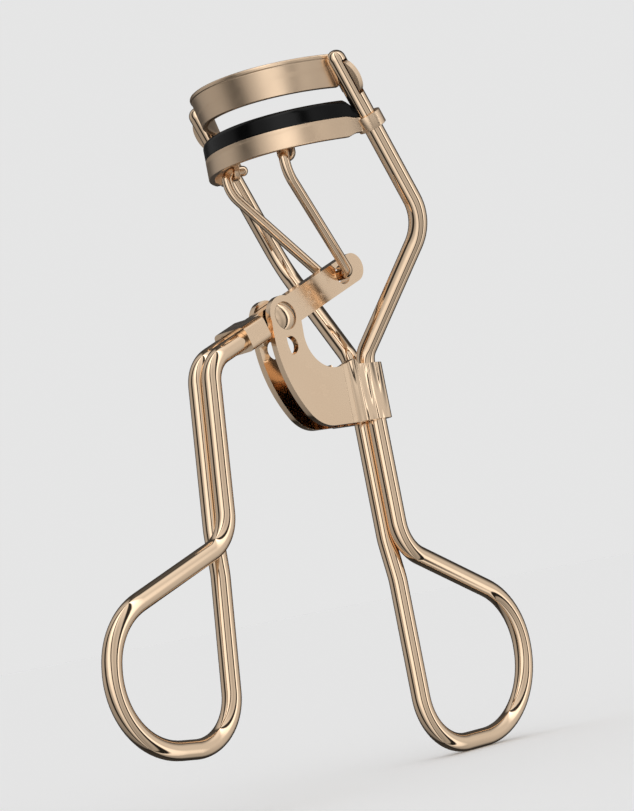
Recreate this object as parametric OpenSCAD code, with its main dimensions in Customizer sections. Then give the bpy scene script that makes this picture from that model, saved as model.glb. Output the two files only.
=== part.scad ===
// Eyelash curler: a bent-wire frame with two posts, a fixed upper jaw, a lower jaw with a
// rubber pad that slides on the posts, and a scissor lever that pushes it through a V link.
// Millimetres. X runs across the jaws, +Y points at the frame's finger loop, +Z at the jaws.
// The origin is the centre of the hole through both bracket ears. Drawn ajar, as it is put down.

/* [Frame wire] */
// Diameter of the frame and handle wire
wire_d = 2.8; // [2.2:0.1:3.2]
// Distance between the axes of the two posts
post_span = 30.6; // [27:0.2:38]
// Height of the post tips above the origin
post_top_z = 39.1; // [37:0.5:50]
// Lean of the posts away from upright, towards the lever side
post_lean = 26; // [20:0.5:28]
// Height of the outward bend where the posts begin
post_bend_z = 14.8; // [13:0.2:16.5]
// Radius of that bend
post_bend_r = 8; // [6:0.5:9]

/* [Finger loops] */
// Distance from the frame strands out to the far side of their loop
frame_loop_w = 23.5; // [20:0.5:29]
// Height of the frame loop, from the fork of the strands to its bottom
frame_loop_h = 30.5; // [28:0.5:38]
// Length of the frame strands between the origin's level and the fork
frame_reach = 31.6; // [26:0.5:40]
// Distance from the lever strands out to the far side of their loop
lever_loop_w = 22; // [20:0.5:27]
// Height of the lever loop
lever_loop_h = 28.4; // [24:0.2:34]
// Length of the lever strands from their upper corner to the fork
lever_reach = 25.2; // [20:0.2:30]

/* [Bracket] */
// Thickness of the bracket and lever sheet
sheet_t = 1; // [0.7:0.05:1.1]
// Distance from the ear hole forward to the axes of the strands
strand_y = 15.6; // [15:0.2:18]
// Height of the sleeve that grips the strands
sleeve_h = 8.4; // [7:0.2:10]
// Radius of the hole through both ears
ear_hole_r = 1.4; // [1:0.1:1.5]
// Height of the pivot above that hole
pivot_z = 4.4; // [4.2:0.1:5.3]
// Radius of the round ear end about the pivot
ear_r = 3.05; // [2.6:0.05:3.5]

/* [Lever] */
// Angle of the lever plate above level, as drawn
lever_tilt = 21.3; // [18:0.5:23]
// Distance from the pivot to the link hole
lever_arm = 15.9; // [14.5:0.1:17]
// Width of the lever plate
lever_w = 4.4; // [3.8:0.1:5]
// Angle of the lever strands away from upright, as drawn
handle_tilt = 6.6; // [4:0.2:10]
// Distance from the pivot to the corner of the handle wire
handle_corner = 16.8; // [15.5:0.1:20]
// Radius of the rivet shank
rivet_r = 0.9; // [0.7:0.05:1.1]
// Radius of the domed rivet heads
rivet_head_r = 2.1; // [1.8:0.1:2.6]

/* [Link] */
// Diameter of the link wire
link_d = 1.6; // [1.2:0.05:1.7]
// Distance between the two knuckles at the lower jaw
knuckle_span = 11.3; // [9:0.1:16]

/* [Jaws and pad] */
// Thickness of the jaw sheet
jaw_t = 0.9; // [0.6:0.05:1]
// Height of the upper jaw
upper_h = 4.7; // [4:0.1:5.5]
// Height of the visible metal of the lower jaw
lower_h = 3; // [2.8:0.1:4]
// Thickness of the thinned ends that hook round the posts
hook_t = 0.65; // [0.5:0.05:0.8]
// Height of the pad above the lower jaw
pad_h = 2.6; // [2:0.1:3.2]
// Radial width of the pad
pad_w = 3; // [2.4:0.1:3.6]
// Open gap between the pad and the upper jaw, as drawn
jaw_gap = 2.2; // [1.6:0.1:3]

/* [Fits] */
// Radial clearance of the turning fits
turn_clear = 0.05; // [0.02:0.01:0.09]
// Radial clearance of the lower jaw's hooks on the posts
slide_clear = 0.08; // [0.03:0.01:0.1]
// Clearance of pieces that are gripped or peened fast
grip_clear = 0.03; // [0.02:0.01:0.06]
// Clearance between faces that pass each other
side_clear = 0.3; // [0.2:0.05:0.4]

/* [Hidden] */
$fn = 64;
gold = "burlywood";
// Straight lengths of wire are that much fuller than the bends and reach that far into them.
seam = 0.005;
lap = 0.04;

wire_r = wire_d / 2;
strand_x = wire_r + 0.05;
post_x = post_span / 2;

// A point on the post axes at a height, and the post direction.
bend_y = strand_y + 3.4;
function post_y(z) = bend_y - (z - post_bend_z) * tan(post_lean);
post_tip = [post_x, post_y(post_top_z), post_top_z];

sleeve_top = -3.85;
sleeve_bottom = sleeve_top - sleeve_h;
ear_gap = 2 * sheet_t + 2 * side_clear;
ear_out = ear_gap / 2 + sheet_t;

strand_bend_z = sleeve_top + 1.45;
hole_clear = 0.7;
link_hole_r = link_d / 2 + hole_clear;

pivot = [0, 0, pivot_z];
function lever_point(d, off = 0) = [0, d * cos(lever_tilt) - off * sin(lever_tilt),
                                    pivot_z + d * sin(lever_tilt) + off * cos(lever_tilt)];
link_low = lever_point(lever_arm);

// Heights of the jaws, and the centre and outer radius of their arcs in plan.
lower_z = 27.8;
lower_top = lower_z + lower_h;
pad_top = lower_top + pad_h;
upper_z = pad_top + jaw_gap;
upper_top = upper_z + upper_h;
lower_r = post_x + 0.95;
lower_cy = 14.7;
upper_r = post_x - 0.15;
upper_flare = 1.1;
upper_cy = 12.4;
tab_z = (upper_z + upper_top) / 2 - 1.65;
tab_h = upper_h + 0.5;
tab_reach = wire_r + 0.9;
// The arcs end where they reach the posts.
hook_z = lower_z + 2.15;
lower_span = acos((lower_cy - post_y(hook_z) + 1.7) / (lower_r - jaw_t / 2));
upper_span = acos((upper_cy - post_y(tab_z)) / (upper_r - 1.05));
floor_top = lower_top - 0.7;
inner_r = lower_r - pad_w - 0.85;
hook_h = 2.2;
pad_chamfer = 11;

// The knuckle lugs hang from the inner wall of the lower jaw.
lug_r = link_d / 2 + 0.55;
lug_arc = inner_r + jaw_t / 2;
lug_turn = asin(knuckle_span / 2 / lug_arc);
lug_z = lower_z + 0.05;
function lug_point(s, r) = [s * (lug_arc + r) * sin(lug_turn),
                            lower_cy - (lug_arc + r) * cos(lug_turn), lug_z];

// ---- wire that is bent through points, as on a forming machine ----

function unit(v) = v / norm(v);
function turn(a, b) = acos(min(1, max(-1, unit(a) * unit(b))));
function setback(p, r, i) = r[i] * tan(turn(p[i] - p[i - 1], p[i + 1] - p[i]) / 2);
function frame_matrix(x, y, z, o) = [[x[0], y[0], z[0], o[0]], [x[1], y[1], z[1], o[1]],
                                     [x[2], y[2], z[2], o[2]], [0, 0, 0, 1]];

module rod(a, b, r) {
    z = unit(b - a);
    x = unit(cross(abs(z[0]) > 0.9 ? [0, 1, 0] : [1, 0, 0], z));
    multmatrix(frame_matrix(x, cross(z, x), z, a)) cylinder(h = norm(b - a), r = r);
}

module bend(p, before, after, bend_r, r) {
    u = unit(p - before);
    v = unit(after - p);
    z = unit(cross(u, v));
    start = p - u * bend_r * tan(turn(u, v) / 2);
    centre = start + cross(z, u) * bend_r;
    x = unit(start - centre);
    multmatrix(frame_matrix(x, cross(z, x), z, centre))
        rotate_extrude(angle = turn(u, v)) translate([bend_r, 0]) circle(r = r - seam);
}

module bent_wire(p, bends, r) {
    last = len(p) - 1;
    for (i = [1 : last]) {
        u = unit(p[i] - p[i - 1]);
        cut_a = i == 1 ? 0 : setback(p, bends, i - 1) - lap;
        cut_b = i == last ? 0 : setback(p, bends, i) - lap;
        rod(p[i - 1] + u * cut_a, p[i] - u * cut_b, r);
    }
    for (i = [1 : last - 1]) bend(p[i], p[i - 1], p[i + 1], bends[i], r);
}

// A loop that leaves its strand at the fork, runs out, down and back to the other strand.
// It is drawn by distance along the strand and distance out from it.
arm_drop = 0.495;
function loop_side(w, h) = h - arm_drop * w;
function loop_bends(w, h, top, bottom) = [6, top * loop_side(w, h),
                                          min(bottom * loop_side(w, h), 0.6 * w), 0.34 * w];

// ---- frame ----

frame_loop = loop_bends(frame_loop_w, frame_loop_h, 0.62, 0.6);
function frame_point(x, u, v) = [x, strand_y + v, -u];
frame_path = [
    post_tip,
    [post_x, bend_y, post_bend_z],
    [strand_x, strand_y, strand_bend_z],
    frame_point(strand_x, frame_reach, 0),
    frame_point(0.6 * strand_x, frame_reach + arm_drop * frame_loop_w, frame_loop_w),
    frame_point(-0.4 * strand_x, frame_reach + frame_loop_h, frame_loop_w),
    frame_point(-0.45 * strand_x, frame_reach + frame_loop_h, 0),
    frame_point(-0.45 * strand_x, frame_reach + 4.5, 0),
    frame_point(-strand_x, frame_reach - 1.5, 0),
    [-strand_x, strand_y, strand_bend_z],
    [-post_x, bend_y, post_bend_z],
    [-post_x, post_tip[1], post_tip[2]]];
frame_bends = concat([0, post_bend_r, 3.5], frame_loop, [12, 12, 3.5, post_bend_r, 0]);

module each_side() {
    children();
    mirror([1, 0, 0]) children();
}

// Placed on a post at a height and leaning with it.
module on_post(z) {
    translate([post_x, post_y(z), z]) rotate([post_lean, 0, 0]) children();
}

module post_space(clear) {
    each_side() on_post(post_bend_z + 4) cylinder(h = 2 * post_top_z, r = wire_r + clear);
}

// The tongue at each end of the upper jaw passes through a slot in the post. Its end is bowed.
module tongue_blank(clear, reach) {
    on_post(tab_z) rotate([90, 0, 0]) translate([0, 0, -jaw_t / 2 - clear])
        linear_extrude(height = jaw_t + 2 * clear) intersection() {
            translate([-wire_r - 0.9, -tab_h / 2 - clear])
                square([wire_r + 0.9 + reach, tab_h + 2 * clear]);
            children();
        }
}

module post_slot() {
    tongue_blank(grip_clear, wire_r + 2) square(4 * tab_h, center = true);
}

module tongue() {
    bow_r = (tab_h * tab_h / 4 + 2.56) / 3.2;
    tongue_blank(0, tab_reach) union() {
        translate([tab_reach - bow_r, 0]) circle(r = bow_r);
        translate([-0.8, -tab_h]) square([tab_reach - 0.8, 2 * tab_h]);
        translate([-2 * tab_h, 1 - tab_h / 2]) square([2 * tab_h, tab_h]);
    }
}

module frame_wire() {
    color(gold) difference() {
        union() {
            bent_wire(frame_path, frame_bends, wire_r);
            each_side() translate(post_tip) sphere(r = wire_r - seam);
        }
        each_side() post_slot();
    }
}

// ---- bracket: two ears and a sleeve, one folded sheet ----

sleeve_r = wire_r + grip_clear + 0.85;
sleeve_back = strand_y + sleeve_r;
fold_far = 5.9;
fold_near = 4.3;
back_r = 18.8;
back_centre = [back_r - ear_r, 1.8];
heel_r = 6.1;
heel_z = sleeve_bottom - 0.15 + heel_r;
heel = [back_centre[0] - sqrt((back_r - heel_r) * (back_r - heel_r)
                              - (back_centre[1] - heel_z) * (back_centre[1] - heel_z)), heel_z];

module bracket_plan() {
    difference() {
        union() {
            translate([-ear_out, -2 * ear_r]) square([2 * ear_out, strand_y + 2 * ear_r]);
            polygon([[-ear_out, strand_y - fold_far], [ear_out, strand_y - fold_far],
                     [strand_x + sleeve_r, strand_y - fold_near], [strand_x + sleeve_r, strand_y],
                     [-strand_x - sleeve_r, strand_y],
                     [-strand_x - sleeve_r, strand_y - fold_near]]);
            for (s = [-1, 1]) translate([s * strand_x, strand_y]) circle(r = sleeve_r);
            translate([-strand_x, strand_y]) square([2 * strand_x, sleeve_r]);
        }
        translate([-ear_gap / 2, -3 * ear_r]) square([ear_gap, strand_y - 1.8 + 3 * ear_r]);
        for (s = [-1, 1])
            translate([s * strand_x, strand_y]) circle(r = wire_r + grip_clear);
        translate([-strand_x, strand_y - wire_r - 0.4]) square([2 * strand_x, wire_r + 0.4]);
    }
}

// Round ear end, a deep round throat in front of it, a long curved back edge and a heel.
module bracket_side() {
    translate([0, pivot_z]) circle(r = ear_r);
    difference() {
        intersection() {
            translate(back_centre) circle(r = back_r);
            union() {
                polygon([[-2 * ear_r, pivot_z], [ear_r, pivot_z], [ear_r - 0.1, 1.4], [8.2, 1.4],
                         [8.2, sleeve_top], [sleeve_back + 1, sleeve_top],
                         [sleeve_back + 1, sleeve_bottom], [heel[0], heel[1] - heel_r],
                         heel, heel + 4 * heel_r * unit(heel - back_centre)]);
                translate(heel) circle(r = heel_r);
            }
        }
        translate([8.2, 1.4]) circle(r = 8.3 - ear_r);
    }
}

module along_x(length, r) {
    translate([-length / 2, 0, 0]) rotate([0, 90, 0]) cylinder(h = length, r = r);
}

module clamp_bracket() {
    color(gold) difference() {
        intersection() {
            translate([0, 0, -20]) linear_extrude(height = 40) bracket_plan();
            rotate([90, 0, 90]) translate([0, 0, -10]) linear_extrude(height = 20) bracket_side();
        }
        along_x(20, ear_hole_r);
        translate(pivot) along_x(20, rivet_r + grip_clear);
        each_side() bend_space();
    }
}

// Room for the strands where they start to spread at the top of the sleeve.
module bend_space() {
    bend(frame_path[2], frame_path[1], frame_path[3], frame_bends[2], wire_r + grip_clear);
}

// ---- pivot rivet ----

head_h = 0.85;
dome_r = (rivet_head_r * rivet_head_r + head_h * head_h) / (2 * head_h);

module rivet_head() {
    translate([ear_out + grip_clear, 0, 0]) rotate([0, 90, 0]) rotate_extrude()
        intersection() {
            translate([0, head_h - dome_r]) circle(r = dome_r);
            square([rivet_head_r, head_h]);
        }
}

module pivot_rivet() {
    color(gold) translate(pivot) {
        along_x(2 * ear_out + 2 * grip_clear + 0.2, rivet_r);
        each_side() rivet_head();
    }
}

// ---- jaws ----

module jaw_arc(cy, span) {
    translate([0, cy, 0]) rotate([0, 0, -90 - span]) rotate_extrude(angle = 2 * span)
        children();
}

module upper_jaw() {
    color(gold) {
        difference() {
            jaw_arc(upper_cy, upper_span) polygon([
                [upper_r - upper_flare - jaw_t, upper_z], [upper_r - upper_flare, upper_z],
                [upper_r, upper_top], [upper_r - jaw_t, upper_top]]);
            post_space(grip_clear);
        }
        each_side() tongue();
    }
}

module lower_section() {
    translate([lower_r - jaw_t, lower_z]) square([jaw_t, lower_h]);
    translate([inner_r, floor_top - jaw_t]) square([lower_r - inner_r, jaw_t]);
    translate([inner_r, floor_top - jaw_t]) square([jaw_t, lower_top - floor_top + jaw_t]);
}

// A sheet hook that runs round the front and the outside of a post.
module post_hook() {
    on_post(hook_z) rotate([0, 0, -150]) rotate_extrude(angle = 300)
        translate([wire_r + slide_clear, -hook_h / 2]) square([hook_t, hook_h]);
}

module lug() {
    translate([0, lower_cy, 0]) rotate([0, 0, lug_turn - 90]) translate([inner_r, 0, lug_z]) {
        rotate([0, 90, 0]) cylinder(h = jaw_t, r = lug_r);
        translate([0, -lug_r, 0]) cube([jaw_t, 2 * lug_r, floor_top - lug_z - jaw_t / 2]);
    }
}

module lug_hole() {
    translate([0, lower_cy, 0]) rotate([0, 0, lug_turn - 90]) translate([inner_r - 1, 0, lug_z])
        rotate([0, 90, 0]) cylinder(h = jaw_t + 2, r = link_d / 2 + 0.2);
}

module lower_jaw() {
    color(gold) difference() {
        union() {
            difference() {
                jaw_arc(lower_cy, lower_span) lower_section();
                post_space(side_clear);
            }
            each_side() {
                post_hook();
                lug();
            }
        }
        each_side() lug_hole();
    }
}

module jaw_pad() {
    color("black") difference() {
        jaw_arc(lower_cy, lower_span - 1) union() {
            translate([lower_r - pad_w, lower_top + grip_clear])
                square([pad_w, pad_h - grip_clear]);
            translate([inner_r + jaw_t + grip_clear, floor_top + grip_clear])
                square([lower_r - inner_r - 2 * jaw_t - 2 * grip_clear, lower_top - floor_top]);
        }
        post_space(slide_clear + hook_t + side_clear / 2);
        each_side() pad_end_cut();
    }
}

// The ends of the pad fall away at 45 degrees towards the posts.
module pad_end_cut() {
    translate([0, lower_cy, 0]) rotate([0, 0, lower_span - pad_chamfer - 90])
        translate([inner_r - 1, -1, pad_top + 1]) rotate([-45, 0, 0]) cube([pad_w + 3, 12, 12]);
}

// ---- link: a V of wire, hooked through the lugs and threaded through the lever ----

link_x = sheet_t + side_clear + link_d / 2 + 0.3;
link_front = jaw_t / 2 + link_d / 2 + 0.15;
link_knee = 3.0;
link_path = [
    lug_point(1, -jaw_t / 2 - 0.8),
    lug_point(1, link_front),
    lug_point(1, link_front) - [0, 0, link_knee],
    [link_x, link_low[1], link_low[2]],
    [-link_x, link_low[1], link_low[2]],
    lug_point(-1, link_front) - [0, 0, link_knee],
    lug_point(-1, link_front),
    lug_point(-1, -jaw_t / 2 - 0.8)];

module link_wire() {
    color(gold) {
        bent_wire(link_path, [0, 1.2, 2.5, 1.1, 1.1, 2.5, 1.2, 0], link_d / 2);
        for (end = [link_path[0], link_path[7]]) translate(end) sphere(r = link_d / 2 - seam);
    }
}

// ---- lever: a folded strip whose open end is crimped round both strands of its wire ----

tab_near = 5.3;
tab_far = 9.6;
tab_off = 0.45;
tab_r = wire_r + grip_clear + 0.45;
tab_round = 0.9;

module on_lever() {
    translate(pivot) rotate([lever_tilt, 0, 0]) children();
}

module lever_side() {
    tip = lever_arm + 4.9 - lever_w / 2;
    translate([-tab_near - 0.2, -lever_w / 2]) square([tip + tab_near + 0.2, lever_w]);
    translate([tip, 0]) circle(r = lever_w / 2);
}

module tab_body() {
    wide = strand_x + tab_r - tab_round;
    tall = tab_r - tab_round;
    translate([-wide - tab_round, tab_off - tall]) square([2 * wide + 2 * tab_round, 2 * tall]);
    translate([-wide, tab_off - tab_r]) square([2 * wide, 2 * tab_r]);
    for (x = [-wide, wide], y = [-tall, tall]) translate([x, tab_off + y]) circle(r = tab_round);
}

module lever_plate() {
    color(gold) difference() {
        union() {
            on_lever() {
                rotate([90, 0, 90]) translate([0, 0, -sheet_t])
                    linear_extrude(height = 2 * sheet_t) lever_side();
                translate([0, -tab_near, 0]) rotate([90, 0, 0])
                    linear_extrude(height = tab_far - tab_near) tab_body();
                translate([0, 0, tab_off - tab_r]) linear_extrude(height = 1.9 * tab_r)
                    polygon([[-sheet_t, -tab_near + 0.9], [sheet_t, -tab_near + 0.9],
                             [strand_x + 1.3, -tab_near - 0.1], [-strand_x - 1.3, -tab_near - 0.1]]);
            }
        }
        translate(pivot) along_x(20, rivet_r + turn_clear);
        translate(link_low) along_x(20, link_hole_r);
        on_lever() each_side() translate([strand_x, -tab_near - 0.2, tab_off])
            rotate([90, 0, 0]) cylinder(h = 10, r = wire_r + grip_clear);
    }
}

handle_top = lever_point(-handle_corner, tab_off);
lever_loop = loop_bends(lever_loop_w, lever_loop_h, 0.53, 0.66);
function handle_point(x, u, v) = [x, handle_top[1] - u * sin(handle_tilt) - v * cos(handle_tilt),
                                  handle_top[2] - u * cos(handle_tilt) + v * sin(handle_tilt)];
lever_path = [
    lever_point(-tab_near - 0.3, tab_off) + [strand_x, 0, 0],
    handle_point(strand_x, 0, 0),
    handle_point(strand_x, lever_reach, 0),
    handle_point(0.6 * strand_x, lever_reach + arm_drop * lever_loop_w, lever_loop_w),
    handle_point(-0.4 * strand_x, lever_reach + lever_loop_h, lever_loop_w),
    handle_point(-0.5 * strand_x, lever_reach + lever_loop_h, 0.4),
    handle_point(-0.5 * strand_x, lever_reach + 4.5, 0.1),
    handle_point(-strand_x, lever_reach - 1.5, 0),
    handle_point(-strand_x, 0, 0),
    lever_point(-tab_near - 0.3, tab_off) - [strand_x, 0, 0]];

module lever_wire() {
    color(gold) bent_wire(lever_path, concat([0, 5], lever_loop, [12, 12, 5, 0]), wire_r);
}

frame_wire();
clamp_bracket();
pivot_rivet();
upper_jaw();
lower_jaw();
jaw_pad();
link_wire();
lever_plate();
lever_wire();
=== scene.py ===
# %% [markdown]
# # A wire eyelash curler
# The tool is nearly all bent wire and folded sheet, plated a pale rose gold and polished. The
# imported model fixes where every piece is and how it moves. Here the wires, jaws, pad and rivet
# are shaped again the way a maker would form them, by bending, spinning and turning. The two
# folded sheets are refined copies. Every piece is then given its real finish.

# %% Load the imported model
import math
import bmesh
import bpy
from mathutils import Matrix, Vector


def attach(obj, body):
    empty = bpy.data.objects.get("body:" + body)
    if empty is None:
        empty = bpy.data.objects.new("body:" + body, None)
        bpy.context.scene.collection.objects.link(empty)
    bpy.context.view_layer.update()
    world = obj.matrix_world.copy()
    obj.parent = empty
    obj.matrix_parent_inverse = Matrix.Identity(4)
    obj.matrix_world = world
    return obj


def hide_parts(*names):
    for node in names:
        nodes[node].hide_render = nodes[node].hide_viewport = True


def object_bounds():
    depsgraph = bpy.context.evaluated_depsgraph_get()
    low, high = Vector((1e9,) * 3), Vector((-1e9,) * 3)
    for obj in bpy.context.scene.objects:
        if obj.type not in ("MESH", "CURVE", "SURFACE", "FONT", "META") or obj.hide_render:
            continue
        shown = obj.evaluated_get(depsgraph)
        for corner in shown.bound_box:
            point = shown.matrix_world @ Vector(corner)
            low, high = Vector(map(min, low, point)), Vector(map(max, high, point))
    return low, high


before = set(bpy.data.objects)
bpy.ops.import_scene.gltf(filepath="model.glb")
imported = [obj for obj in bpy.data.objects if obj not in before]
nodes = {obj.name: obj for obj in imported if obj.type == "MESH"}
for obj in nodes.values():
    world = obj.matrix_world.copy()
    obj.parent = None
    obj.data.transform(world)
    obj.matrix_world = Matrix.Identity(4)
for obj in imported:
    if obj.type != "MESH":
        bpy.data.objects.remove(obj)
cad_box = [list(corner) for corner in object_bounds()]
low, high = (Vector(corner) for corner in cad_box)
print("size in mm:", [round(1000 * side, 1) for side in high - low])

# %% [markdown]
# ## The camera
# A long lens far away keeps the wires nearly parallel. The tool leans a little in the view, so
# the camera is rolled about its own axis after it has been aimed.

# %% Aim the camera
CAMERA_AZIMUTH = 44.7

def unit_view(azimuth, elevation):
    """The way a camera looks: azimuth 0 is along +Y and 90 is along -X."""
    a, e = math.radians(azimuth), math.radians(elevation)
    return Vector((-math.sin(a) * math.cos(e), math.cos(a) * math.cos(e), -math.sin(e)))

def aim_camera(target, azimuth, elevation, roll, distance, lens):
    camera = bpy.data.objects.new("camera", bpy.data.cameras.new("camera"))
    bpy.context.scene.collection.objects.link(camera)
    look = unit_view(azimuth, elevation)
    turn = look.to_track_quat("-Z", "Y").to_matrix().to_4x4()
    place = Matrix.Translation(Vector(target) - look * distance)
    camera.matrix_world = place @ turn @ Matrix.Rotation(math.radians(-roll), 4, "Z")
    camera.data.lens = lens
    camera.data.clip_start = 0.01
    bpy.context.scene.camera = camera
    return camera

camera = aim_camera(target=(-0.00442, 0.00959, -0.00846), azimuth=CAMERA_AZIMUTH,
                    elevation=-4.35, roll=11.0, distance=0.370, lens=109.88)
print("camera at", [round(v, 4) for v in camera.location])

# %% [markdown]
# ## A helper for shader maths
# Node trees get long when every node is made and joined by hand. This class wraps one output
# of a tree, so that plain arithmetic on it adds the Math nodes, and one method adds any other
# node with its settings and its sockets.

# %% One class for shader trees
class Flow:
    def __init__(self, tree, socket=None):
        self.tree, self.socket = tree, socket

    def node(self, kind, settings=None, sockets=None, out=0):
        made = self.tree.nodes.new(kind)
        for key, value in (settings or {}).items():
            if key == "stops":
                ramp = made.color_ramp.elements
                while len(ramp) < len(value):
                    ramp.new(0.5)
                for stop, (place, tone) in zip(ramp, value):
                    stop.position = place
                    stop.color = (tone, tone, tone, 1)
            else:
                setattr(made, key, value)
        for key, value in (sockets or {}).items():
            if isinstance(value, Flow):
                self.tree.links.new(value.socket, made.inputs[key])
            else:
                made.inputs[key].default_value = value
        return Flow(self.tree, made.outputs[out] if made.outputs else None)

    def maths(self, operation, first, second=0.0):
        return self.node("ShaderNodeMath", {"operation": operation}, {0: first, 1: second})

    def __add__(self, other):
        return self.maths("ADD", self, other)

    def __mul__(self, other):
        return self.maths("MULTIPLY", self, other)

    def __sub__(self, other):
        return self.maths("SUBTRACT", self, other)

    def __rsub__(self, other):
        return self.maths("SUBTRACT", other, self)

    __radd__ = __add__
    __rmul__ = __mul__

# %% [markdown]
# ## The studio
# Polished metal only shows what stands round it. A pale room gives the light bands, and narrow
# dark gaps between the light panels draw the thin dark lines along each wire. The camera itself
# sees one even pale tone, as on a paper sweep, and the floor is the same paper.

# %% Pale room with dark gaps between its panels
PAPER = 0.787   # the even tone that everything but a reflection sees
SKEW = 0.05     # how much the panels slant, as a share of a full turn

# Degrees round the room and the tone there: 0 is behind the camera, 180 is behind the tool.
PANELS = [(-180, 0.07), (-162, 0.06), (-144, 0.04), (-128, 0.34), (-100, 0.46), (-84, 0.38),
          (-79, 0.03), (-62, 0.03), (-57, 0.50), (-45, 0.62), (-28, 1.35), (-9, 1.20),
          (-4, 0.03), (2, 0.03), (7, 0.80), (29, 0.52), (45, 0.66), (53, 0.66),
          (57, 0.03), (68, 0.03), (71, 1.70), (80, 1.35), (86, 0.70), (108, 0.68),
          (124, 0.34), (138, 0.04), (162, 0.05), (180, 0.07)]

# How far up or down a reflection looks, from -1 to 1, and how bright the room is there.
RISE = [(-1.0, 0.55), (-0.45, 0.80), (0.0, 1.0), (0.5, 1.0), (0.75, 1.25), (1.0, 1.5)]

def build_room():
    # The plain transform shows the paper at the very tone it is given.
    bpy.context.scene.view_settings.view_transform = "Standard"
    world = bpy.data.worlds.new("studio")
    bpy.context.scene.world = world
    world.use_nodes = True
    world.node_tree.nodes.clear()
    room = Flow(world.node_tree)
    way = room.node("ShaderNodeTexCoord", out="Generated")
    split = room.node("ShaderNodeSeparateXYZ", sockets={0: way})
    x, y, z = (Flow(room.tree, split.socket.node.outputs[i]) for i in range(3))
    # Round the room from 0 to 1, starting and ending behind the tool as the camera sees it.
    turn = math.radians(CAMERA_AZIMUTH)
    ahead = x * math.sin(turn) - y * math.cos(turn)
    aside = x * math.cos(turn) + y * math.sin(turn)
    around = room.maths("ARCTAN2", aside, ahead) * (0.5 / math.pi) + 0.5 + SKEW * z
    panels = [((a + 180) / 360, tone) for a, tone in PANELS]
    rise = [((h + 1) / 2, tone) for h, tone in RISE]
    tone = (room.node("ShaderNodeValToRGB", {"stops": panels}, {0: around})
            * room.node("ShaderNodeValToRGB", {"stops": rise}, {0: z * 0.5 + 0.5}))
    mirrored = room.node("ShaderNodeLightPath", out="Is Glossy Ray")
    level = tone * mirrored + PAPER * (1 - mirrored)
    sky = room.node("ShaderNodeBackground", sockets={"Color": (1, 1, 1, 1), "Strength": level})
    room.node("ShaderNodeOutputWorld", sockets={"Surface": sky})

build_room()
print("tones round the room:", len(PANELS))

# %% [markdown]
# ## Objects and materials
# Every later cell makes meshes and materials, so two helpers do the bookkeeping once.

# %% Make an object, make a material
def new_object(name, bm):
    mesh = bpy.data.meshes.new(name)
    bm.to_mesh(mesh)
    bm.free()
    made = bpy.data.objects.new(name, mesh)
    bpy.context.scene.collection.objects.link(made)
    return made

def new_finish(name):
    finish = bpy.data.materials.new(name)
    finish.use_nodes = True
    finish.node_tree.nodes.clear()
    return finish, Flow(finish.node_tree)

# %% [markdown]
# ## The floor
# The tool stands on the same pale paper. A plain plane is enough, since only the soft contact
# shadow shows. Reflections skip the floor, because the room's tones already reach below it.

# %% Paper floor under the loops
FLOOR_HALF = 3.0
PAPER_WHITE = (0.99, 0.99, 0.99, 1)

def paper_floor(height):
    bm = bmesh.new()
    bmesh.ops.create_grid(bm, x_segments=1, y_segments=1, size=FLOOR_HALF)
    bmesh.ops.translate(bm, vec=(0, 0, height), verts=bm.verts)
    floor = new_object("floor", bm)
    paper, flow = new_finish("paper")
    coat = flow.node("ShaderNodeBsdfDiffuse", sockets={"Color": PAPER_WHITE})
    flow.node("ShaderNodeOutputMaterial", sockets={"Surface": coat})
    floor.data.materials.append(paper)
    floor.visible_glossy = False

paper_floor(low.z)
print("floor at", round(1000 * low.z, 1), "mm")

# %% [markdown]
# ## The finishes
# Rose-gold plating is a polished metal. What makes it real is small: the colour drifts a
# little, fingers leave hazy patches, and polishing leaves fine lines. Sheet pieces carry more
# of these marks than drawn wire. The pad is smooth black rubber with a soft sheen.

# %% Rose gold
LIGHT, DEEP = (0.91, 0.70, 0.50, 1), (0.87, 0.64, 0.44, 1)
PATCHES, SMEARS = 90, 420           # features per metre: the colour's drift, finger haze
SCRATCH_EDGE = [(0.56, 0.0), (0.66, 1.0)]
HAZE_DEPTH, SCRATCH_DEPTH, PRESS_DEPTH = 0.0001, 0.00001, 0.0016
PRESS_LINES = (520, 520, 45)        # streaks of the press, long and upright

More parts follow.
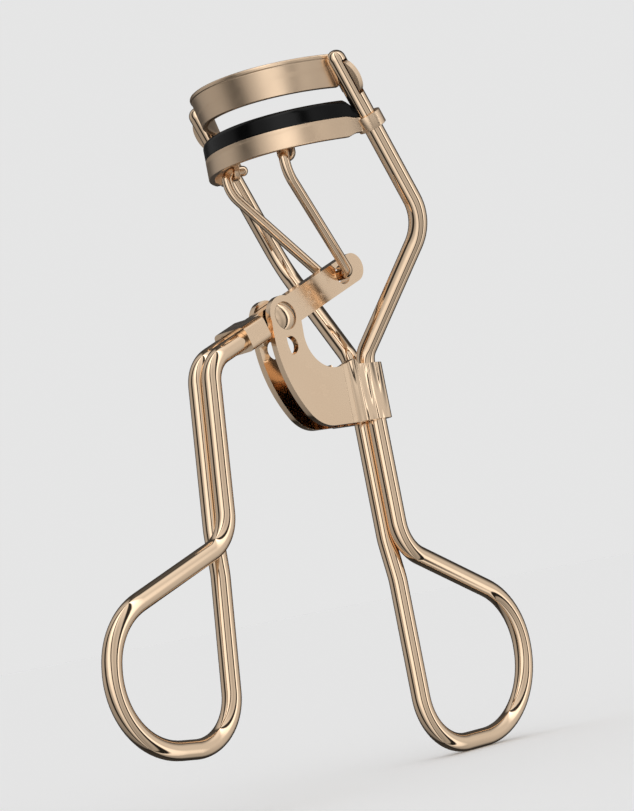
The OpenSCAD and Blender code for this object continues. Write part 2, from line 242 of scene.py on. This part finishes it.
def rose_gold(name, shine, haze, marks, lines, crimp=None):
    """Plated metal: shine is the least roughness, and haze and marks add to it. Lines are
    finer across than along, by their three scales. Past the crimp distance along Y, in metres,
    the sheet carries the press's long uneven streaks."""
    finish, flow = new_finish(name)
    place = flow.node("ShaderNodeTexCoord", out="Object")
    drift = flow.node("ShaderNodeTexNoise", None,
                      {"Vector": place, "Scale": PATCHES, "Detail": 3})
    smear = flow.node("ShaderNodeTexNoise", None,
                      {"Vector": place, "Scale": SMEARS, "Detail": 3, "Roughness": 0.6})
    along = flow.node("ShaderNodeMapping", {"vector_type": "POINT"},
                      {"Vector": place, "Scale": lines})
    scratch = flow.node("ShaderNodeTexNoise", None, {"Vector": along, "Scale": 1, "Detail": 4})
    fine = flow.node("ShaderNodeValToRGB", {"stops": SCRATCH_EDGE}, {0: scratch})
    tint = flow.node("ShaderNodeMix", {"data_type": "RGBA"},
                     {0: drift, 6: LIGHT, 7: DEEP}, out=2)
    rough = shine + haze * smear + marks * fine
    wave = flow.node("ShaderNodeBump", None,
                     {"Strength": 0.012, "Distance": HAZE_DEPTH, "Height": smear})
    bump = flow.node("ShaderNodeBump", None, {"Strength": marks, "Distance": SCRATCH_DEPTH,
                                              "Height": fine, "Normal": wave})
    if crimp:
        depth = flow.node("ShaderNodeSeparateXYZ", None, {0: place}, out=1)
        pressed = flow.maths("GREATER_THAN", depth, crimp)
        streak = flow.node("ShaderNodeMapping", {"vector_type": "POINT"},
                           {"Vector": place, "Scale": PRESS_LINES})
        press = flow.node("ShaderNodeTexNoise", None, {"Vector": streak, "Scale": 1,
                                                       "Detail": 1, "Distortion": 0.4})
        bump = flow.node("ShaderNodeBump", None, {"Strength": 1.0, "Distance": PRESS_DEPTH,
                                                  "Height": press * pressed, "Normal": bump})
    metal = flow.node("ShaderNodeBsdfPrincipled", None,
                      {"Base Color": tint, "Metallic": 1.0, "Roughness": rough, "Normal": bump})
    flow.node("ShaderNodeOutputMaterial", None, {"Surface": metal})
    return finish

wire_gold = rose_gold("wire_gold", shine=0.02, haze=0.04, marks=0.03, lines=(600, 600, 60))
sheet_gold = rose_gold("sheet_gold", shine=0.06, haze=0.14, marks=0.08, lines=(90, 500, 900))
bracket_gold = rose_gold("bracket_gold", shine=0.05, haze=0.10, marks=0.08,
                         lines=(90, 500, 900), crimp=0.0102)
jaw_gold = rose_gold("jaw_gold", shine=0.24, haze=0.14, marks=0.10, lines=(60, 60, 1200))
print("plated finishes:", [f.name for f in (wire_gold, sheet_gold, bracket_gold, jaw_gold)])

# %% [markdown]
# ## Rubber for the pad
# Moulded rubber is nearly black and has a soft sheen. Dust varies the sheen, and a fine grain
# bumps the skin. A dark coat with little specular keeps it from looking like plastic.

# %% Black rubber
BLACK, DUSTY = (0.001, 0.001, 0.001, 1), (0.003, 0.003, 0.003, 1)
DUST, GRAIN = 700, 2600             # features per metre
GRAIN_DEPTH = 0.00003

def black_rubber(name):
    finish, flow = new_finish(name)
    place = flow.node("ShaderNodeTexCoord", out="Object")
    dust = flow.node("ShaderNodeTexNoise", None, {"Vector": place, "Scale": DUST, "Detail": 6})
    skin = flow.node("ShaderNodeTexNoise", None, {"Vector": place, "Scale": GRAIN, "Detail": 2})
    tint = flow.node("ShaderNodeMix", {"data_type": "RGBA"},
                     {0: dust, 6: BLACK, 7: DUSTY}, out=2)
    bump = flow.node("ShaderNodeBump", None,
                     {"Strength": 0.12, "Distance": GRAIN_DEPTH, "Height": skin})
    body = flow.node("ShaderNodeBsdfPrincipled", None,
                     {"Base Color": tint, "Roughness": 0.12 + 0.12 * dust, "Normal": bump,
                      "Specular IOR Level": 0.22})
    flow.node("ShaderNodeOutputMaterial", None, {"Surface": body})
    return finish

rubber = black_rubber("black_rubber_skin")
print("pad finish:", rubber.name)

# %% [markdown]
# ## Finishing a piece
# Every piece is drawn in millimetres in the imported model's frame. One helper shrinks it to
# metres, shades it smooth except over its real edges, and hands it to the body that carries it.

# %% Hand a piece over
MM = (0.001, 0.001, 0.001)

def hand_over(name, bm, body, finish, stands_for, sharp=34):
    """Edges that turn by more than the sharp angle, in degrees, stay crisp."""
    bmesh.ops.scale(bm, vec=MM, verts=bm.verts)
    for face in bm.faces:
        face.smooth = True
    for edge in bm.edges:
        edge.smooth = len(edge.link_faces) == 2 and edge.calc_face_angle() < math.radians(sharp)
    piece = new_object(name, bm)
    piece.data.materials.append(finish)
    even = piece.modifiers.new("even_shading", "WEIGHTED_NORMAL")
    even.keep_sharp = True
    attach(piece, body)
    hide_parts(stands_for)
    print(name, len(piece.data.polygons), "faces")
    return piece

# %% [markdown]
# ## Bent wire
# A forming machine feeds wire straight and turns it round a pin at each bend. The same two
# moves make the mesh: a circle is extruded along each straight, and spun round the pin's axis
# at each corner. So the tube keeps its round section everywhere, and the bends are true arcs.

# %% Feed and bend
def verts_of(ring):
    """Each vertex once and always in the same order, which a set would not give."""
    return list(dict.fromkeys(v for e in ring for v in e.verts))

def ring_of(result, key="geom"):
    """The edges of the ring that an operator has just made."""
    fresh = {item for item in result[key] if isinstance(item, bmesh.types.BMVert)}
    return [item for item in result[key] if isinstance(item, bmesh.types.BMEdge)
            and set(item.verts) <= fresh]

def feed(bm, ring, step):
    made = bmesh.ops.extrude_edge_only(bm, edges=ring)
    ring = ring_of(made)
    bmesh.ops.translate(bm, vec=step, verts=verts_of(ring))
    return ring

def dome(bm, ring, centre, heading, radius, steps=7):
    """Closes a tube with a round end, as on a tumbled wire tip."""
    for i in range(1, steps):
        a, b = (math.pi / 2 * j / steps for j in (i - 1, i))
        ring = feed(bm, ring, heading * radius * (math.sin(b) - math.sin(a)))
        middle = centre + heading * radius * math.sin(b)
        bmesh.ops.scale(bm, vec=(math.cos(b) / math.cos(a),) * 3,
                        space=Matrix.Translation(-middle), verts=verts_of(ring))
    made = bmesh.ops.extrude_edge_only(bm, edges=ring)
    bmesh.ops.pointmerge(bm, verts=verts_of(ring_of(made)), merge_co=centre + heading * radius)

def bend_wire(points, pins, radius, sides=40, arc=4.0):
    """A round wire through the points, bent round a pin of the given radius at each. One step
    of a bend turns by the arc angle, in degrees."""
    bm = bmesh.new()
    points = [Vector(p) for p in points]
    heading = (points[1] - points[0]).normalized()
    turn = heading.to_track_quat("Z", "Y").to_matrix().to_4x4()
    made = bmesh.ops.create_circle(bm, cap_ends=False, segments=sides, radius=radius,
                                   matrix=Matrix.Translation(points[0]) @ turn)
    ring = list(dict.fromkeys(e for v in made["verts"] for e in v.link_edges))
    start = list(ring)
    at = points[0]
    for i in range(1, len(points) - 1):
        onward = (points[i + 1] - points[i]).normalized()
        angle = heading.angle(onward)
        corner = points[i] - heading * pins[i] * math.tan(angle / 2)
        ring = feed(bm, ring, corner - at)
        axis = heading.cross(onward).normalized()
        pin = corner + axis.cross(heading) * pins[i]
        made = bmesh.ops.spin(bm, geom=ring + verts_of(ring), cent=pin, axis=axis,
                              dvec=(0, 0, 0), angle=angle,
                              steps=max(3, int(math.degrees(angle) / arc)),
                              use_merge=False, use_duplicate=False)
        ring = ring_of(made, "geom_last")
        heading = onward
        at = points[i] + onward * pins[i] * math.tan(angle / 2)
    ring = feed(bm, ring, points[-1] - at)
    dome(bm, ring, points[-1], heading, radius)
    dome(bm, start, points[0], -(points[1] - points[0]).normalized(), radius)
    bmesh.ops.remove_doubles(bm, verts=bm.verts, dist=0.0005)
    bmesh.ops.recalc_face_normals(bm, faces=bm.faces)
    return bm

# %% [markdown]
# ## The frame
# One wire makes both posts and the finger loop. Its strands run side by side through the
# bracket and part at the fork: one swings out round the finger and comes back to the other.

# %% Measures of the frame wire
WIRE = 1.4                          # the wire's radius
STRAND = WIRE + 0.05                # the strands nearly touch, side by side
STRAND_Y = 15.6
POST_X, POST_TOP, BEND_Z = 15.3, 39.1, 14.8
LEAN = math.radians(26)             # how far the posts lean back
BEND_Y = STRAND_Y + 3.4
THROAT_Z = -2.4                     # where the strands part above the bracket
FORK = 31.6                         # where one strand leaves for the finger loop
LOOP_W, LOOP_H = 23.5, 30.5
FLARE = 0.495                       # the loop's fall for each millimetre outwards
EASE_TO, EASE_FROM = 4.5, 1.5       # the other strand eases inwards over this, at the fork
POST_PIN, THROAT_PIN, EASE_PIN = 8, 3.5, 12

def post_y(z):
    return BEND_Y - (z - BEND_Z) * math.tan(LEAN)

def loop_pins(wide, tall, top, bottom):
    """Pins for the four corners of a finger loop, from the fork round to the other strand."""
    side = tall - FLARE * wide
    return [6, top * side, min(bottom * side, 0.6 * wide), 0.34 * wide]

def strand_point(x, down, out):
    return (x, STRAND_Y + out, -down)

post_tip = (POST_X, post_y(POST_TOP), POST_TOP)
frame_path = [
    post_tip, (POST_X, BEND_Y, BEND_Z), (STRAND, STRAND_Y, THROAT_Z),
    strand_point(STRAND, FORK, 0),
    strand_point(0.6 * STRAND, FORK + FLARE * LOOP_W, LOOP_W),
    strand_point(-0.4 * STRAND, FORK + LOOP_H, LOOP_W),
    strand_point(-0.45 * STRAND, FORK + LOOP_H, 0),
    strand_point(-0.45 * STRAND, FORK + EASE_TO, 0),
    strand_point(-STRAND, FORK - EASE_FROM, 0),
    (-STRAND, STRAND_Y, THROAT_Z), (-POST_X, BEND_Y, BEND_Z), (-POST_X, *post_tip[1:])]
frame_pins = [0, POST_PIN, THROAT_PIN, *loop_pins(LOOP_W, LOOP_H, 0.62, 0.6),
              EASE_PIN, EASE_PIN, THROAT_PIN, POST_PIN, 0]
print("frame wire:", len(frame_path) - 2, "bends")

# %% [markdown]
# ## Slots in the posts
# The upper jaw's ends pass through the posts, so each post has a slot. A slot could be modelled
# into the tube's faces, but a boolean with a plain block cuts it as a punch would.

# %% Cut the tongue slots with a boolean
TONGUE_Z, TONGUE_H, TONGUE_T = 36.3, 5.2, 0.9
SLOT_DEEP, SLOT_ROOM = 6, 0.3

def cut(piece, cutter):
    """Takes the cutter's shape out of the piece for good."""
    tool = piece.modifiers.new("cut", "BOOLEAN")
    tool.object, tool.operation, tool.solver = cutter, "DIFFERENCE", "EXACT"
    shaped = piece.evaluated_get(bpy.context.evaluated_depsgraph_get())
    mesh = bpy.data.meshes.new_from_object(shaped)
    piece.modifiers.clear()
    old, piece.data = piece.data, mesh
    bpy.data.meshes.remove(old)
    bpy.data.objects.remove(cutter)

def on_post(side, height):
    """Where a post is at a height, with its lean; local X points outwards."""
    place = Matrix.Translation((POST_X, post_y(height), height)) @ Matrix.Rotation(LEAN, 4, "X")
    return Matrix.Scale(side, 4, (1, 0, 0)) @ place

def slot_cutter():
    bm = bmesh.new()
    block = Matrix.Diagonal((SLOT_DEEP, TONGUE_T + SLOT_ROOM, TONGUE_H + SLOT_ROOM, 1))
    for side in (1, -1):
        made = bmesh.ops.create_cube(bm, size=1)
        bmesh.ops.transform(bm, matrix=on_post(side, TONGUE_Z) @ block, verts=made["verts"])
    bmesh.ops.scale(bm, vec=MM, verts=bm.verts)
    bmesh.ops.recalc_face_normals(bm, faces=bm.faces)
    return new_object("slot_cutter", bm)

frame_piece = hand_over("frame_wire_bent", bend_wire(frame_path, frame_pins, WIRE),
                        "frame", wire_gold, "frame_wire")
cut(frame_piece, slot_cutter())
print("with its slots,", len(frame_piece.data.polygons), "faces")

# %% [markdown]
# ## The lever's handle
# The handle is the same wire with a smaller loop. It starts in the lever plate's sleeve, turns
# down at the corner and hangs a little off upright, so its points are given along those lines.

# %% Lever wire
PIVOT_Z = 4.4
TILT, HANDLE = math.radians(21.3), math.radians(6.6)
TAB_OFF = 0.45                      # the wire's line is this much above the plate's
SLEEVE_AT, CORNER_AT = -5.8, -16.8  # along the lever from its pivot
GRIP_W, GRIP_H, GRIP_FORK = 22.0, 28.4, 25.2
CORNER_PIN = 5

def lever_point(x, along, off=0.0):
    return (x, along * math.cos(TILT) - off * math.sin(TILT),
            PIVOT_Z + along * math.sin(TILT) + off * math.cos(TILT))

corner = lever_point(0, CORNER_AT, TAB_OFF)

def handle_point(x, down, out):
    return (x, corner[1] - down * math.sin(HANDLE) - out * math.cos(HANDLE),
            corner[2] - down * math.cos(HANDLE) + out * math.sin(HANDLE))

lever_path = [
    lever_point(STRAND, SLEEVE_AT, TAB_OFF), handle_point(STRAND, 0, 0),
    handle_point(STRAND, GRIP_FORK, 0),
    handle_point(0.6 * STRAND, GRIP_FORK + FLARE * GRIP_W, GRIP_W),
    handle_point(-0.4 * STRAND, GRIP_FORK + GRIP_H, GRIP_W),
    handle_point(-0.5 * STRAND, GRIP_FORK + GRIP_H, 0.4),
    handle_point(-0.5 * STRAND, GRIP_FORK + EASE_TO, 0.1),
    handle_point(-STRAND, GRIP_FORK - EASE_FROM, 0),
    handle_point(-STRAND, 0, 0), lever_point(-STRAND, SLEEVE_AT, TAB_OFF)]
lever_pins = [0, CORNER_PIN, *loop_pins(GRIP_W, GRIP_H, 0.53, 0.66),
              EASE_PIN, EASE_PIN, CORNER_PIN, 0]
hand_over("lever_wire_bent", bend_wire(lever_path, lever_pins, WIRE),
          "lever", wire_gold, "lever_wire")

# %% [markdown]
# ## The link
# A thin wire V joins the lower jaw to the lever. Its ends hook through two lugs under the jaw
# and its point is threaded through the lever's end hole, so it is drawn end to end as one wire.

# %% Link wire
LINK = 0.8                          # the wire's radius
LINK_HALF = 2.4                     # half the straight bit through the lever
LEVER_ARM = 15.9
LUG_ARC, LUG_Z, LUG_CY = 12.85, 27.85, 14.7
LUG_PITCH = 11.3
LUG_TURN = math.asin(LUG_PITCH / 2 / LUG_ARC)
HOOK_IN, HOOK_FRONT, KNEE = -1.25, 1.4, 3.0
HOOK_PIN, KNEE_PIN, THREAD_PIN = 1.2, 4.6, 1.1

def lug_point(side, out, drop=0.0):
    reach = LUG_ARC + out
    return (side * reach * math.sin(LUG_TURN), LUG_CY - reach * math.cos(LUG_TURN), LUG_Z - drop)

link_low = lever_point(0, LEVER_ARM)
link_path = [lug_point(1, HOOK_IN), lug_point(1, HOOK_FRONT), lug_point(1, HOOK_FRONT, KNEE),
             (LINK_HALF, *link_low[1:]), (-LINK_HALF, *link_low[1:]),
             lug_point(-1, HOOK_FRONT, KNEE), lug_point(-1, HOOK_FRONT), lug_point(-1, HOOK_IN)]
link_pins = [0, HOOK_PIN, KNEE_PIN, THREAD_PIN, THREAD_PIN, KNEE_PIN, HOOK_PIN, 0]
hand_over("link_wire_bent", bend_wire(link_path, link_pins, LINK, 28),
          "link", wire_gold, "link_wire")

# %% [markdown]
# ## Bands that follow an arc
# Both jaws and the pad follow an arc, so each is one section spun round the middle of that arc.
# It could be a swept curve, but a spin keeps the section true. Cut edges are then rounded.

# %% Spin a section round the arc's middle
def spin_section(section, cy, span, steps, rounded=0.0):
    """The section is a list of distances out and heights; the arc is centred on -Y."""
    bm = bmesh.new()
    a = -math.radians(span)
    verts = [bm.verts.new((r * math.sin(a), cy - r * math.cos(a), z)) for r, z in section]
    bm.faces.new(verts)
    if rounded:
        bmesh.ops.bevel(bm, geom=verts, offset=rounded, affect="VERTICES", segments=7,
                        profile=0.5, material=-1)
    bmesh.ops.spin(bm, geom=[*bm.faces, *bm.edges, *bm.verts], cent=(0, cy, 0), axis=(0, 0, 1),
                   dvec=(0, 0, 0), angle=math.radians(2 * span), steps=steps,
                   use_merge=False, use_duplicate=False)
    bmesh.ops.recalc_face_normals(bm, faces=bm.faces)
    return bm

def soften(bm, width, segments=3, over=40, edges=None):
    """Rounds the edges that turn by more than an angle, of all edges or of those given."""
    picked = [e for e in edges or bm.edges
              if len(e.link_faces) == 2 and e.calc_face_angle() > math.radians(over)]
    bmesh.ops.bevel(bm, geom=picked, offset=width, offset_type="OFFSET", affect="EDGES",
                    segments=segments, profile=0.5, material=-1, clamp_overlap=True)
    return bm

# %% [markdown]
# ## The upper jaw
# A band with a rolled rim on top, leaning out a little towards it. Its ends are pressed flat
# into tongues that pass through the posts, so each tongue is a flat disc with one side squared.

# %% Upper jaw with its tongues
UPPER_CY, UPPER_SPAN = 12.4, 74.0
TONGUE_OUT, TONGUE_BOW, TONGUE_ROOT = 0.69, 0.62, -1.6
upper_section = [(14.05, 35.6), (14.96, 39.5), (14.93, 39.6), (15.13, 39.75), (15.2, 40.02),
                 (15.1, 40.3), (14.35, 40.3), (13.2, 35.6)]

def tongue(bm, side):
    """A flat end, bowed outwards, that passes through the slot in the post."""
    made = bmesh.ops.create_circle(bm, cap_ends=True, segments=32, radius=TONGUE_H / 2,
                                   matrix=Matrix.Rotation(math.radians(90), 4, "X"))
    verts = made["verts"]
    for v in verts:
        v.co.x = v.co.x * TONGUE_BOW + TONGUE_OUT if v.co.x > 0 else TONGUE_ROOT
    for v in verts:
        if v.co.x < 0:  # the root keeps clear of the band's lower edge
            v.co.z = max(v.co.z, 1 - TONGUE_H / 2)
    face = verts[0].link_faces[0]
    made = bmesh.ops.extrude_face_region(bm, geom=[face])
    fresh = [v for v in made["geom"] if isinstance(v, bmesh.types.BMVert)]
    bmesh.ops.translate(bm, vec=(0, TONGUE_T, 0), verts=fresh)
    bmesh.ops.translate(bm, vec=(0, -TONGUE_T / 2, 0), verts=verts + fresh)
    bmesh.ops.transform(bm, matrix=on_post(side, TONGUE_Z), verts=verts + fresh)

bm = soften(spin_section(upper_section, UPPER_CY, UPPER_SPAN, 90), 0.18)
for side in (1, -1):
    tongue(bm, side)
bmesh.ops.recalc_face_normals(bm, faces=bm.faces)
hand_over("upper_jaw_curved", bm, "frame", jaw_gold, "upper_jaw")

# %% [markdown]
# ## The lower jaw
# A channel that holds the pad, narrowed at its ends into strips that curl round the posts as
# hooks. Two round ears under it take the link. All are formed apart and meet inside the metal.

# %% Lower jaw: channel, hooks and lugs
LOWER_R, INNER_R, LOWER_SPAN = 16.25, 12.4, 72.3
LOWER_Z, LOWER_TOP = 27.8, 30.8
JAW_T = 0.9
SEAT, SEAT_LOW = 30.1, 30.1 - JAW_T  # the channel's floor, above and below
FACE_IN = LOWER_R - JAW_T
LIP_IN = INNER_R + JAW_T
channel = [(LOWER_R, LOWER_Z), (LOWER_R, LOWER_TOP), (FACE_IN, LOWER_TOP), (FACE_IN, SEAT),
           (LIP_IN, SEAT), (LIP_IN, LOWER_TOP), (INNER_R, LOWER_TOP), (INNER_R, SEAT_LOW),
           (FACE_IN, SEAT_LOW), (FACE_IN, LOWER_Z)]
THIN_FROM, THIN_OVER = 9, 6         # degrees before the end, and over how many
THIN_TOP, THIN_LOW = 0.35, 0.5
HOOK_Z, HOOK_HALF, HOOK_GAP = 29.95, 1.1, 60
HOOK_R = (1.48, 2.13)
LUG_R, LUG_BORE, LUG_RISE, LUG_T = 1.35, 1.0, 1.0, 0.9

def thin_ends(bm):
    """Narrows the band to the strip that goes round the post."""
    for v in bm.verts:
        turn = math.degrees(abs(math.atan2(v.co.x, LUG_CY - v.co.y)))
        t = min(1, max(0, (turn - LOWER_SPAN + THIN_FROM) / THIN_OVER))
        ease = t * t * (3 - 2 * t)
        if v.co.z > SEAT + 0.4:
            v.co.z -= THIN_TOP * ease
        elif v.co.z < SEAT_LOW - 0.7:
            v.co.z += THIN_LOW * ease

def hook(bm, side):
    """The strip's end, curled round the post and left open by the gap, in degrees."""
    before = set(bm.verts)
    curl = math.radians(360 - HOOK_GAP)
    start = Matrix.Rotation(-curl / 2, 4, "Z")
    inner, outer = HOOK_R
    verts = [bm.verts.new(start @ Vector((r, 0, z)))
             for r, z in ((inner, -HOOK_HALF), (outer, -HOOK_HALF),
                          (outer, HOOK_HALF), (inner, HOOK_HALF))]
    face = bm.faces.new(verts)
    bmesh.ops.spin(bm, geom=[face, *face.edges, *verts], cent=(0, 0, 0), axis=(0, 0, 1),
                   dvec=(0, 0, 0), angle=curl, steps=60, use_merge=False, use_duplicate=False)
    fresh = [v for v in bm.verts if v not in before]
    bmesh.ops.transform(bm, matrix=on_post(side, HOOK_Z), verts=fresh)

def lug(bm, side):
    """A round ear with a hole, drawn flat as two bridged rings and then thickened."""
    flat = Matrix.Rotation(math.radians(90), 4, "X")
    rings = []
    for radius in (LUG_R, LUG_BORE):
        made = bmesh.ops.create_circle(bm, cap_ends=False, segments=36, radius=radius,
                                       matrix=flat)
        rings.append(made["verts"])
    for v in rings[0]:
        v.co.z += LUG_RISE if v.co.z > 0.01 else 0
    edges = list(dict.fromkeys(e for ring in rings for v in ring for e in v.link_edges))
    made = bmesh.ops.bridge_loops(bm, edges=edges)
    made = bmesh.ops.extrude_face_region(bm, geom=made["faces"], use_keep_orig=True)
    fresh = [v for v in made["geom"] if isinstance(v, bmesh.types.BMVert)]
    bmesh.ops.translate(bm, vec=(0, LUG_T, 0), verts=fresh)
    place = (Matrix.Translation(lug_point(side, -LUG_T / 2))
             @ Matrix.Rotation(side * LUG_TURN, 4, "Z") @ Matrix.Translation((0, -LUG_T, 0)))
    bmesh.ops.transform(bm, matrix=place, verts=rings[0] + rings[1] + fresh)

bm = spin_section(channel, LUG_CY, LOWER_SPAN, 90)
thin_ends(bm)
for side in (1, -1):
    hook(bm, side)
    lug(bm, side)
bmesh.ops.recalc_face_normals(bm, faces=bm.faces)
soften(bm, 0.13, 2)
hand_over("lower_jaw_channel", bm, "lower_jaw", jaw_gold, "lower_jaw")

# %% [markdown]
# ## The pad
# The rubber pad sits in the channel, stands above it with rounded shoulders, and falls away at
# 45 degrees at both ends. Moulding would do all that at once. Here two slanting planes cut the
# spun section, which is simpler than easing its height.

# %% Rubber pad
PAD_TOP, PAD_IN, PAD_SPAN = 33.4, 13.25, 71.3
PAD_LOW = LOWER_TOP - 0.6
SHOULDER = 0.85
SLANT_FROM = 11                     # degrees before the jaw's end
PAD_MID = 14.7

def rubber_pad():
    section = [(LOWER_R - 0.02, PAD_LOW), (LOWER_R, PAD_TOP), (PAD_IN, PAD_TOP),
               (PAD_IN, PAD_LOW)]
    bm = spin_section(section, LUG_CY, PAD_SPAN, 90, SHOULDER)
    for side in (1, -1):
        turn = side * math.radians(LOWER_SPAN - SLANT_FROM)
        out = Vector((math.sin(turn), -math.cos(turn), 0))
        sideways = Vector((math.cos(turn), math.sin(turn), 0)) * side
        point = Vector((0, LUG_CY, 0)) + out * PAD_MID + Vector((0, 0, PAD_TOP + 0.7))
        geom = [*bm.verts, *bm.edges, *bm.faces]
        made = bmesh.ops.bisect_plane(bm, geom=geom, plane_co=point,
                                      plane_no=sideways + Vector((0, 0, 1)), clear_outer=True)
        edges = [e for e in made["geom_cut"] if isinstance(e, bmesh.types.BMEdge)]
        bmesh.ops.holes_fill(bm, edges=edges, sides=0)
    bmesh.ops.recalc_face_normals(bm, faces=bm.faces)
    return soften(bm, 0.22, 4, 30)

hand_over("pad_moulded", rubber_pad(), "lower_jaw", rubber, "jaw_pad")

# %% [markdown]
# ## The rivet
# A shank through both ears, peened into a shallow dome at each end. The dome's outline is spun
# once round the shank's axis.

# %% Turned rivet
def turned_rivet(edge=2.1, rise=0.85, face=2.33, shank=0.9):
    """The dome's edge radius and its rise over the ear's face, which is this far from X 0."""
    bm = bmesh.new()
    big = (edge * edge + rise * rise) / (2 * rise)
    arc = [math.asin(edge / big) * i / 10 for i in range(11)]
    half = [(face + rise - big + big * math.cos(a), big * math.sin(a)) for a in arc]
    half += [(face, edge - 0.06), (face, shank)]
    outline = half + [(-x, r) for x, r in reversed(half)]
    verts = [bm.verts.new((x, 0, PIVOT_Z + r)) for x, r in outline]
    edges = [bm.edges.new(pair) for pair in zip(verts, verts[1:])]
    bmesh.ops.spin(bm, geom=verts + edges, cent=(0, 0, PIVOT_Z), axis=(1, 0, 0),
                   dvec=(0, 0, 0), angle=2 * math.pi, steps=48, use_merge=True,
                   use_duplicate=False)
    bmesh.ops.remove_doubles(bm, verts=bm.verts, dist=0.001)
    bmesh.ops.recalc_face_normals(bm, faces=bm.faces)
    return bm

hand_over("rivet_peened", turned_rivet(), "frame", sheet_gold, "pivot_rivet")

# %% [markdown]
# ## The folded sheet pieces
# The bracket and the lever plate are blanked from sheet and folded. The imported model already
# has their true folds and outlines, so a merged copy is the right start. Its many triangles
# are dissolved back into flat faces, and then the blanked edges are rounded, because a
# polished sheet has no sharp edge and the rim is what catches the light.

# %% Copy a folded piece and soften its edges
EAR_X = 2.2                         # beyond this from the middle lies the sleeve's outside
FOLD_Y = (9, 12)                    # where the ears turn into the sleeve
THROAT_Y, THROAT_TOP = 8.5, -6

def folded(node, width, fold=None):
    """A merged copy with its rims rounded by the width and, if asked, its folds by theirs."""
    bm = bmesh.new()
    bm.from_mesh(nodes[node].data)
    bmesh.ops.remove_doubles(bm, verts=bm.verts, dist=1e-6)
    bmesh.ops.scale(bm, vec=(1000, 1000, 1000), verts=bm.verts)
    bmesh.ops.dissolve_limit(bm, angle_limit=math.radians(1), use_dissolve_boundaries=False,
                             verts=bm.verts, edges=bm.edges)
    if fold:
        bends = [e for e in bm.edges if len(e.link_faces) == 2
                 and abs((e.verts[0].co - e.verts[1].co).normalized().z) > 0.999
                 and min(abs(v.co.x) for v in e.verts) > EAR_X
                 and FOLD_Y[0] < e.verts[0].co.y < FOLD_Y[1]
                 and math.radians(8) < e.calc_face_angle() < math.radians(70)]
        bmesh.ops.bevel(bm, geom=bends, offset=fold, affect="EDGES", segments=6, profile=0.5,
                        material=-1, clamp_overlap=True)
        print(len(bends), "folds rounded")
    # The cramped inner edges where the strands enter are left as they were sheared.
    open_edges = [e for e in bm.edges if not any(
        v.co.y > THROAT_Y and v.co.z > THROAT_TOP and abs(v.co.x) < EAR_X + 0.05
        for v in e.verts)]
    return soften(bm, width, 8, 40, open_edges)

hand_over("bracket_folded", folded("clamp_bracket", 0.2, 0.55), "frame",
          bracket_gold, "clamp_bracket", 13)
hand_over("lever_folded", folded("lever_plate", 0.16), "lever", sheet_gold,
          "lever_plate", 13)
